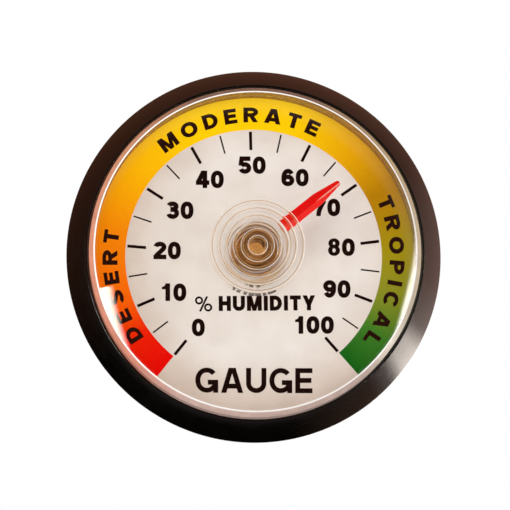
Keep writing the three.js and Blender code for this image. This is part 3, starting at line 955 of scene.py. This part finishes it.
# The print: cap heights, stroke widths as shares of them, and the gaps between characters.
NUMBERS = {"cap": 2.34, "weight": 0.262, "gap": 0.2}
PERCENT = {"cap": 2.0, "weight": 0.13, "gap": 0}
HUMIDITY = {"cap": 2.0, "weight": 0.27, "gap": 0.26, "tilt": 0.8}
TITLE = {"cap": 3.35, "weight": 0.195, "gap": 0.4}
ZONES = {"cap": 2.02, "weight": 0.245, "gap": 0.92, "wider": 1.22}
ZONE_R = 19.05
ZONE_WORDS = (("DESERT", 193.0), ("MODERATE", 96.7), ("TROPICAL", -5.9))
NUMBER_R, NUMBER_PULL = 12.42, 0.85  # the numbers at the sides stand nearer the centre
FINE_TICK, BOLD_TICK = 0.2, 0.39


def make_print():
    """Scale marks, numbers and words, each set as one thin piece of ink."""
    ink = ink_paint("dial_black_ink", (13, 5, 4), (32, 14, 11))
    marks = Print()
    for percent in range(0, 101, 5):
        marks.tick(scale_angle(percent), FINE_TICK if percent % 10 else BOLD_TICK)
    marks.build("scale_marks", ink)

    numbers = Print()
    for percent in range(0, 101, 10):
        angle = math.radians(scale_angle(percent))
        r = NUMBER_R - NUMBER_PULL * abs(math.cos(angle))
        numbers.centred(str(percent), r * math.cos(angle) + 0.1, r * math.sin(angle) - 0.15, **NUMBERS)
    numbers.build("scale_numbers", ink)

    words = Print()
    words.word("%", -7.75, -7.32, **PERCENT)
    words.word("HUMIDITY", -4.6, -7.25, **HUMIDITY)
    words.build("scale_unit_words", ink)
    title = Print()
    title.word("GAUGE", -7.7, -18.15, **TITLE)
    title.build("scale_title_word", ink)

    zones = Print()
    for text, middle in ZONE_WORDS:
        zones.arched(text, ZONE_R, middle, **ZONES)
    zones.build("zone_words", ink_paint("dial_brown_ink", (30, 11, 6), (50, 20, 10)))


# The post, its bush and washer, the collet and its pin.
POST_R = 1.2
HEAD_TOP_H = HEAD_H + 0.55
BUSH_BORE_R = 1.25
BUSH_SHANK_R = 1.8
BUSH_FLANGE_H = DIAL_H + 0.05
WEB_BORE_R = 1.35
COLLET_BORE_R = 1.22
COLLET_SLOT = {"half": 0.4, "depth": 0.4}
DRIVER_SLOT = {"half": 0.3, "depth": 0.35}


def make_centre():
    brass = turned_metal("turned_brass", (240, 180, 104), (208, 142, 72), 0.22, 0.05, 0.5)
    steel = turned_metal("spring_steel", (196, 196, 198), (150, 148, 146), 0.28, 0.08)
    post = revolve("coil_post_turned", rounded([
        (0, HEAD_H), (HEAD_R, HEAD_H, 0.2), (HEAD_R, HEAD_TOP_H, 0.08), (POST_R, HEAD_TOP_H, 0.06),
        (POST_R, POST_TOP_H - 0.45, 0.25), (0.85, POST_TOP_H - 0.12, 0.3), (0, POST_TOP_H)]), SMALL)
    past = HEAD_R + 1
    use_block(post, "DIFFERENCE", POINTER_ANGLE, -past, past, DRIVER_SLOT["half"],
              HEAD_H - DRIVER_SLOT["depth"], HEAD_H + DRIVER_SLOT["depth"])
    finish_mesh(post.data)
    piece(post, brass, "adjuster", "brass", "coil_post")

    bush = revolve("post_bush_turned", rounded([
        (BUSH_BORE_R, BUSH_H, 0.08), (BUSH_SHANK_R, BUSH_H, 0.08), (BUSH_SHANK_R, BUSH_FLANGE_H),
        (BUSH_R, BUSH_FLANGE_H, 0.05), (BUSH_R, BUSH_TOP_H, 0.16), (BUSH_BORE_R, BUSH_TOP_H, 0.1)], 4), SMALL)
    piece(bush, brass, "case", "brass", "post_bush")
    washer = revolve("friction_washer_sprung", rounded([
        (WEB_BORE_R, WASHER_H, 0.04), (WASHER_R, WASHER_H, 0.04), (WASHER_R, WASHER_TOP_H, 0.04),
        (WEB_BORE_R, WASHER_TOP_H, 0.04)], 3), SMALL)
    piece(washer, steel, "case", "spring_steel", "friction_washer")
    # The collet's brass is given darker colours than the post's.
    make_collet(turned_metal("darker_brass", (168, 120, 72), (112, 74, 42), 0.3, 0.05, 0.5), steel)


def make_collet(brass, steel):
    """The collet is a ring with a slot, in which the pin wedges the coil's inner end."""
    collet = revolve("coil_collet_slotted", [
        (COLLET_BORE_R, COLLET_H), (COLLET_R, COLLET_H), (COLLET_R, COLLET_TOP_H),
        (COLLET_BORE_R, COLLET_TOP_H)], SMALL)
    use_block(collet, "DIFFERENCE", POINTER_ANGLE, COLLET_R - COLLET_SLOT["depth"], COLLET_R + 1,
              COLLET_SLOT["half"], COLLET_H - 1, COLLET_TOP_H + 1)
    finish_mesh(collet.data)
    piece(collet, brass, "adjuster", "brass", "coil_collet")
    pin = revolve("coil_pin_tapered", rounded([
        (0, PIN_H), (0.11, PIN_H, 0.04), (0.13, PIN_TOP_H, 0.05), (0, PIN_TOP_H)], 4), facets=24)
    seat = Vector((COLLET_R - COLLET_SLOT["depth"] / 2 + 0.02, 0, -COLLET_SLOT["half"] / 2)) * MM
    pin.data.transform(Matrix.Translation(about_axis(POINTER_ANGLE) @ seat))
    piece(pin, steel, "adjuster", "spring_steel", "coil_pin")


# The humidity coil. Its outer end eases out into the pointer's foot, and its outer turns are paler.
COIL = {"start": 2.05, "last": 4.4, "end": 5.05, "turns": 4, "opening": 1.45, "ease": 0.15,
        "overrun": 8 / 360, "thick": 0.15, "from": DIAL_H + 1.2, "to": DIAL_H + 5.1, "pale": (2.9, 3.7)}
COIL_STEPS = 420


def coil_radius(turn):
    spread = max(0.0, turn - (COIL["turns"] - COIL["ease"])) / COIL["ease"]
    spread = min(spread, 1.0)
    ease = spread * spread * (3 - 2 * spread)
    share = min(turn, COIL["turns"]) / COIL["turns"]
    spiral = COIL["start"] + (COIL["last"] - COIL["start"]) * share ** COIL["opening"]
    return spiral + (COIL["end"] - COIL["last"]) * ease


def unsmoothed(weight):
    """The place along a blend at which its smooth weight has this value."""
    return 0.5 - math.sin(math.asin(1 - 2 * weight) / 3)


def make_coil():
    """The strip is first laid out straight, then each of its points is moved onto the rolled-up spiral."""
    length = COIL["turns"] + COIL["overrun"]
    section = rounded([(-0.5, 1, 0.25), (0.5, 1, 0.25), (0.5, 0, 0.25), (-0.5, 0, 0.25)], 2)
    section = [(p[0] * COIL["thick"], min(max(p[1], 0), 1)) for p in section]
    ring = len(section)
    straight = []
    for i in range(COIL_STEPS + 1):
        t = unsmoothed(min(1.0, i / COIL_STEPS * length / COIL["turns"]))
        straight += [Vector((t, 0, 0))] * ring
    mesh = bpy.data.meshes.new("humidity_coil_strip")
    mesh.from_pydata(straight, [], skin(COIL_STEPS + 1, ring))
    coil = add_object("humidity_coil_strip", mesh)
    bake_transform(coil)
    for i in range(COIL_STEPS + 1):
        turn = i / COIL_STEPS * length
        degrees = POINTER_ANGLE + 360 * (turn - COIL["turns"])
        for j, (side, up) in enumerate(section):
            h = COIL["from"] + (COIL["to"] - COIL["from"]) * up
            mesh.vertices[i * ring + j].co = place(coil_radius(turn) + side, degrees, h)
    shade(mesh, 40)
    # Each side's third colour is its painted shade near the dial.
    mesh.materials.append(coil_paint("coil_film_side", (206, 142, 78), (120, 70, 32), (120, 70, 34)))
    mesh.materials.append(coil_paint("coil_bronze_side", (255, 222, 164), (222, 164, 98), (176, 120, 66)))
    for i in range(COIL_STEPS):
        for j in range(ring):
            inner = section[j][0] < 0 and section[(j + 1) % ring][0] < 0
            mesh.polygons[i * ring + j].material_index = int(inner)
    hide_from(coil, "shadow")
    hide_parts("humidity_coil")


# The pointer: a roof-shaped arm with a forked foot that takes the coil's end. A highlight is painted on its
# ridge towards the tip.
ARM = {"from": 4.6, "taper": 10.7, "tip": 14.4, "half": 0.875, "tip_half": 0.33, "round": 0.35,
       "offset": 0.27, "painted_glint": (10.0, 11.6)}
ARM_H = {"bottom": DIAL_H + 5.25, "side": DIAL_H + 5.52, "ridge": DIAL_H + 5.95}
FOOT = {"from": 4.62, "to": 5.5, "half": 0.85, "bottom": DIAL_H + 3.6, "slot": 0.44}


def arm_half(x):
    """Half the arm's width at x from the dial's axis."""
    if x < ARM["taper"]:
        return ARM["half"]
    share = (x - ARM["taper"]) / (ARM["tip"] - ARM["taper"])
    straight = ARM["half"] + (ARM["tip_half"] - ARM["half"]) * share
    end = min(1.0, (ARM["tip"] - x) / ARM["round"])
    return straight * math.sqrt(max(0.0, 1 - (1 - end) ** 2))


def arm_section(x):
    """The roof-shaped section at x: [across, h] points, with a soft ridge and edges."""
    half = max(arm_half(x), 0.02)
    full = half / ARM["half"]
    bottom, side = ARM_H["bottom"], ARM_H["side"]
    ridge = side + (ARM_H["ridge"] - side) * min(1.0, 0.35 + 0.65 * full)
    return rounded([(-half, bottom, 0.06 * full), (half, bottom, 0.06 * full), (half, side, 0.08 * full),
                    (0, ridge, 0.16), (-half, side, 0.08 * full)], 4)


def make_pointer():
    stations = [ARM["from"], ARM["from"] + 0.04, ARM["from"] + 0.2, 7.0, 9.0, ARM["taper"] - 0.1,
                ARM["taper"], ARM["taper"] + 0.4, 12.2, 13.2, 13.9]
    stations += [ARM["tip"] - ARM["round"] * (1 - math.sin(math.radians(a))) for a in range(0, 91, 10)]
    vertices = []
    for x in stations:
        inset = 0.04 if x == ARM["from"] else 0.0
        for across, h in arm_section(x):
            h += inset if h < ARM_H["side"] else -inset
            vertices.append(Vector((x, -h, across * (1 - inset))) * MM)
    ring = len(vertices) // len(stations)
    arm = new_object("pointer_moulded", vertices, skin(len(stations), ring), 40)
    boolean(arm, forked_foot(), "UNION")
    arm.data.transform(about_axis(POINTER_ANGLE) @ Matrix.Translation((0, 0, ARM["offset"] * MM)))
    finish_mesh(arm.data, 40)
    piece(arm, pointer_paint(), "needle", "pointer_plastic", "pointer")


def forked_foot():
    """The foot under the arm's inner end, with the slot that takes the coil's end."""
    near, far = COIL["end"] - FOOT["slot"] / 2, COIL["end"] + FOOT["slot"] / 2
    roof, top = COIL["to"] + 0.05, ARM_H["bottom"] + 0.12
    return side_prism([(FOOT["from"], FOOT["bottom"]), (near, FOOT["bottom"]), (near, roof), (far, roof),
                       (far, FOOT["bottom"]), (FOOT["to"], FOOT["bottom"]), (FOOT["to"], top),
                       (FOOT["from"], top)], FOOT["half"])


# The case's cup, with a shallow relief round its back, air slots and stiffening ribs.
FLOOR_H = CASE_H + 1.4
RELIEF = {"from": 11.5, "to": 22.4, "bevel": 0.3, "h": CASE_H + 0.3}
CUP_R = 22.9
CUP_INNER_R = 21.6
LEDGE_R = 20.0
BOSS_R = 3.6
RECESS = {"r": 2.9, "h": CASE_H + 0.95}
SLOTS = 12
SLOT_R = (13.0, 18.6)
SLOT_HALF = 0.85
STIFFENERS = {"count": 6, "start": 15, "half": 0.45, "top": 5.0}


def make_case():
    shank_h, rim_h = BUSH_H - 0.1, SKIRT_H - 0.1
    outline = rounded([
        (RECESS["r"], CASE_H, 0.1), (RELIEF["from"], CASE_H, 0.1),
        (RELIEF["from"] + RELIEF["bevel"], RELIEF["h"], 0.1),
        (RELIEF["to"] - RELIEF["bevel"], RELIEF["h"], 0.1),
        (RELIEF["to"], CASE_H, 0.1), (FLANGE_R, CASE_H, 0.45), (FLANGE_R, rim_h, 0.1), (CUP_R, rim_h),
        (CUP_R, SNAP_H - 0.4), (CUP_R + 0.6, SNAP_H, 0.15), (CUP_R, SNAP_H + 0.4), (CUP_R, CUP_TOP_H, 0.1),
        (CUP_INNER_R, CUP_TOP_H, 0.1), (CUP_INNER_R, DIAL_BACK_H), (LEDGE_R, DIAL_BACK_H, 0.1),
        (LEDGE_R, FLOOR_H, 0.2), (BOSS_R, FLOOR_H, 0.2), (BOSS_R, DIAL_BACK_H, 0.1),
        (DIAL_HOLE_R, DIAL_BACK_H), (DIAL_HOLE_R, shank_h), (WEB_BORE_R, shank_h),
        (WEB_BORE_R, RECESS["h"]), (RECESS["r"], RECESS["h"])], 4)
    case = revolve("case_back_moulded", outline, facets=192)
    for i in range(SLOTS):
        boolean(case, slot_tool(360 * i / SLOTS), "DIFFERENCE")
    for i in range(STIFFENERS["count"]):
        use_block(case, "UNION", 360 * i / STIFFENERS["count"] + STIFFENERS["start"], BOSS_R - 0.2,
                  LEDGE_R + 0.2, STIFFENERS["half"], FLOOR_H - 0.2, STIFFENERS["top"])
    finish_mesh(case.data)
    piece(case, case_paint(), "case", "case_plastic", "case_back")
    hide_from(case, "shadow")


def slot_tool(degrees):
    """A round-ended slot that flares at the rear face."""
    levels = ((CASE_H - 0.2, SLOT_HALF + 0.5), (RELIEF["h"] + 0.02, SLOT_HALF + 0.3),
              (CASE_H + 0.62, SLOT_HALF), (FLOOR_H + 0.5, SLOT_HALF))
    vertices = []
    for h, half in levels:
        loop = arc_points(half, -90, 180, 12, SLOT_R[1] - SLOT_HALF)
        loop += arc_points(half, 90, 180, 12, SLOT_R[0] + SLOT_HALF)
        vertices += [flat(p, h) for p in loop]
    tool = new_object("tool", vertices, skin(len(levels), len(vertices) // len(levels)))
    tool.data.transform(about_axis(degrees))
    return tool


# The fastener: two adhesive films, two tapes, and the pile between them.
FILM_R = PAD_R - 0.12
TAPE_T = 0.45
THREAD_PITCH = 0.42
PILE_R = (10.85, 10.5, 10.1, 9.6)
PILE_PITCH = 0.3
STRAND_R = 0.045
STRAND_STEPS = 8
STRAND_SIDES = 6


def make_fastener():
    fabric, film = fabric_paint(), adhesive_paint()
    layers = (("wall_adhesive_film", 0.0, LOOP_H, FILM_R, 0.04, film, "adhesive", "wall_adhesive"),
              ("hook_adhesive_film", FILM_H, CASE_H, FILM_R, 0.04, film, "adhesive", "hook_adhesive"),
              ("loop_tape", LOOP_H, LOOP_H + TAPE_T, PAD_R, 0.12, fabric, "fastener_fabric", "loop_disc"),
              ("hook_tape", FILM_H - TAPE_T, FILM_H, PAD_R, 0.12, fabric, "fastener_fabric", "hook_disc"))
    for name, low, high, r, edge, material, slot, node in layers:
        disc = revolve(name, rounded([(0, low), (r, low, edge), (r, high, edge), (0, high)], 3))
        piece(disc, material, "case", slot, node)
    make_pile(fabric)


def make_pile(fabric):
    """The loops and hooks between the two tapes, where they show at the fastener's edge."""
    rng = random.Random(7)
    vertices, faces = [], []
    low, high = LOOP_H + TAPE_T - 0.05, FILM_H - TAPE_T + 0.05
    for row, radius in enumerate(PILE_R):
        count = round(2 * math.pi * radius / PILE_PITCH)
        for i in range(count):
            degrees = 360 * (i + rng.uniform(-0.3, 0.3)) / count
            lean, reach = rng.uniform(-2.0, 2.0), rng.uniform(0.05, 0.3 if row == 0 else 0.12)
            points = []
            for k in range(STRAND_STEPS + 1):
                t = k / STRAND_STEPS
                h = low + (high - low) * (1 - t if (i + row) % 2 else t)
                bulge = math.sin(math.pi * t)
                points.append(place(radius + reach * bulge, degrees + lean * (t - 0.5) + 0.5 * bulge, h))
            add_tube(vertices, faces, points, STRAND_R, STRAND_SIDES)
    piece(new_object("hook_and_loop_pile", vertices, faces, 60), fabric, "case", "fastener_fabric")


def add_tube(vertices, faces, points, radius, sides):
    """Adds a closed tube along points, with its radius in millimetres."""
    faces += skin(len(points), sides, len(vertices))
    for i, p in enumerate(points):
        ahead = (points[min(i + 1, len(points) - 1)] - points[max(i - 1, 0)]).normalized()
        side = ahead.cross(Vector((0.3, 0.1, 0.9))).normalized()
        up = ahead.cross(side)
        for k in range(sides):
            a = 2 * math.pi * k / sides
            vertices.append(p + (side * math.cos(a) + up * math.sin(a)) * radius * MM)


# ---------------------------------------------------------------- studio

VIEW_AZIMUTH, VIEW_ELEVATION = -2.8, -8.1
VIEW_DISTANCE = 450
VIEW_WIDTH = 68.5  # what the frame takes in at the bezel's widest edge
AIM = (0.13, WIDEST_H, 0.11)  # right, towards the reader, up
FLOOR_Z = -300
FLOOR_HALF = 3000
LAMP_COLOUR = (1, 0.97, 0.95)


def direction(azimuth, elevation):
    """From the object towards a place round it: azimuth 0 is the reader's side, 90 is +X."""
    a, e = math.radians(azimuth), math.radians(elevation)
    return Vector((math.sin(a) * math.cos(e), -math.cos(a) * math.cos(e), math.sin(e)))


def off_axis(degrees, angle):
    """The direction at some degrees off the dial's axis, towards the dial angle `angle`."""
    o, a = math.radians(degrees), math.radians(angle)
    return Vector((math.sin(o) * math.cos(a), -math.cos(o), math.sin(o) * math.sin(a)))


def make_camera():
    data = bpy.data.cameras.new("camera")
    data.sensor_width = 36
    data.lens = data.sensor_width * VIEW_DISTANCE / VIEW_WIDTH
    camera = add_object("camera", data)
    away = direction(VIEW_AZIMUTH, VIEW_ELEVATION)
    aim = Vector((AIM[0], -AIM[1], AIM[2])) * MM
    camera.location = aim + away * VIEW_DISTANCE * MM
    camera.rotation_euler = (-away).to_track_quat("-Z", "Y").to_euler()
    bpy.context.scene.camera = camera


def make_floor():
    """A pale floor that glows faintly, so that its far edge doesn't show as a grey line."""
    paint = Paint("studio_floor", Specular_IOR_Level=0.2, Emission_Strength=0.28, Emission_Color=(1, 1, 1, 1))
    colour = paint.mix(paint.noise(60.0), tint(247, 246, 244), tint(250, 249, 247))
    corners = [Vector((x * FLOOR_HALF, y * FLOOR_HALF, FLOOR_Z)) * MM
               for x, y in ((-1, -1), (1, -1), (1, 1), (-1, 1))]
    floor = new_object("studio_floor", corners, [(0, 1, 2, 3)])
    floor.data.materials.append(paint.finished(colour, 0.8))
    hide_from(floor, "diffuse", "glossy", "transmission")


def softbox(name, degrees, angle, distance, side, power):
    """A square area lamp that lights matt surfaces, at some degrees off the dial's axis."""
    data = bpy.data.lights.new(name, "AREA")
    data.shape = "RECTANGLE"
    data.size = data.size_y = side * MM
    data.energy, data.color = power, LAMP_COLOUR
    lamp = add_object(name, data)
    away = off_axis(degrees, angle)
    lamp.location = Vector((0, -DIAL_H * MM, 0)) + away * distance * MM
    lamp.rotation_euler = (-away).to_track_quat("-Z", "Z").to_euler()
    hide_from(lamp, "camera", "glossy", "transmission")


# What the gloss of the bezel mirrors behind the object, by dial angle / 360.
BACK_STOPS = (
    (0.0, (1.2, 0.72, 0.62)), (0.1, (0.46, 0.21, 0.14)), (0.22, (0.43, 0.16, 0.095)),
    (0.36, (0.34, 0.12, 0.06)), (0.5, (0.14, 0.05, 0.03)), (0.58, (0, 0, 0)), (0.8, (0, 0, 0)),
    (0.885, (0.36, 0.2, 0.14)), (0.908, (0.9, 0.75, 0.7)), (0.922, (8.0, 7.1, 6.4)),
    (0.94, (8.0, 7.1, 6.4)), (0.958, (1.8, 1.4, 1.25)), (1.0, (1.2, 0.72, 0.62)))
# What gloss mirrors to the side, by dial angle / 360.
SIDE_STOPS = (
    (0.0, (0.6, 0.56, 0.52)), (0.1, (0.5, 0.46, 0.42)), (0.25, (0.42, 0.38, 0.35)),
    (0.5, (0.5, 0.45, 0.42)), (0.75, (0.28, 0.25, 0.24)), (0.88, (0.45, 0.42, 0.4)),
    (1.0, (0.6, 0.56, 0.52)))
ROOM = (0.70, 0.69, 0.68, 1)
FRONT = (0.08, 0.02, 0.012, 1)
BEYOND = (0.72, 0.7, 0.68, 1)  # what shows through the lens from the side
WHITE = (1, 1, 1, 1)

# Bright panels that only gloss mirrors. Each corner is (degrees off the dial's axis, dial angle,
# how softly the edge that starts there begins), and the last value is the panel's radiance.
PANELS = (
    (((66, 30, 0.04), (61.2, 4, 0.05), (59.2, -20, 0.05), (59.6, -44, 0.04), (70, -46, 0.02),
      (74, 30, 0.05)), (24, 23, 21, 1)),
    (((52.7, 185.6, 0.07), (55.3, 213, 0.01), (63, 214, 0.01), (63, 185.3, 0.006)), (30, 28.5, 25.5, 1)),
)


def panel_mask(nodes, way, corners):
    """1 where the direction `way` meets a convex panel with these corners, and 0 outside it."""
    ways = [off_axis(*corner[:2]) for corner in corners]
    middle = sum(ways, Vector()).normalized()
    mask = 1.0
    for i, corner in enumerate(ways):
        normal = corner.cross(ways[(i + 1) % len(ways)]).normalized()
        if normal.dot(middle) < 0:
            normal.negate()
        mask = nodes.times(mask, nodes.remap(nodes.dot(way, normal), 0, corners[i][2], smooth=True))
    return mask


def make_world():
    """White to the camera, an even soft room for matt surfaces, and a studio for gloss to mirror."""
    world = bpy.data.worlds.new("studio")
    bpy.context.scene.world = world
    world.use_nodes = True
    world.cycles.sampling_method = "NONE"
    nodes = Nodes(world.node_tree)
    way = nodes.node("TexCoord", {}).outputs["Generated"]
    x, y, z = nodes.split(way)
    turn = nodes.turn(x, z)
    studio = nodes.mix(nodes.remap(y, -0.5, -0.42, smooth=True), FRONT, nodes.ramp(turn, SIDE_STOPS))
    studio = nodes.mix(nodes.remap(y, -0.05, 0.15, smooth=True), studio, nodes.ramp(turn, BACK_STOPS))
    path = nodes.node("LightPath", {})
    beyond = nodes.times(path.outputs["Is Transmission Ray"], nodes.remap(y, -0.45, -0.3, smooth=True))
    studio = nodes.mix(beyond, studio, BEYOND)
    for corners, radiance in PANELS:
        studio = nodes.mix(panel_mask(nodes, way, corners), studio, radiance)
    lit = nodes.mix(path.outputs["Is Diffuse Ray"], studio, ROOM)
    seen = nodes.mix(path.outputs["Is Camera Ray"], lit, WHITE)
    nodes.feed(nodes.tree.nodes["Background"].inputs["Color"], seen)


# ---------------------------------------------------------------- the scene

make_camera()
make_dial()
make_print()
make_centre()
make_coil()
make_pointer()
make_lens()
make_bezel()
make_case()
make_fastener()
make_floor()
make_world()
softbox("key_softbox", degrees=33, angle=140, distance=900, side=560, power=4.3)
softbox("fill_softbox", degrees=40, angle=-80, distance=500, side=360, power=0.75)

scene = bpy.context.scene
scene.view_settings.view_transform = "Standard"
scene.cycles.max_bounces = 24
scene.cycles.transmission_bounces = 24
scene.cycles.glossy_bounces = 8
scene.cycles.transparent_max_bounces = 64
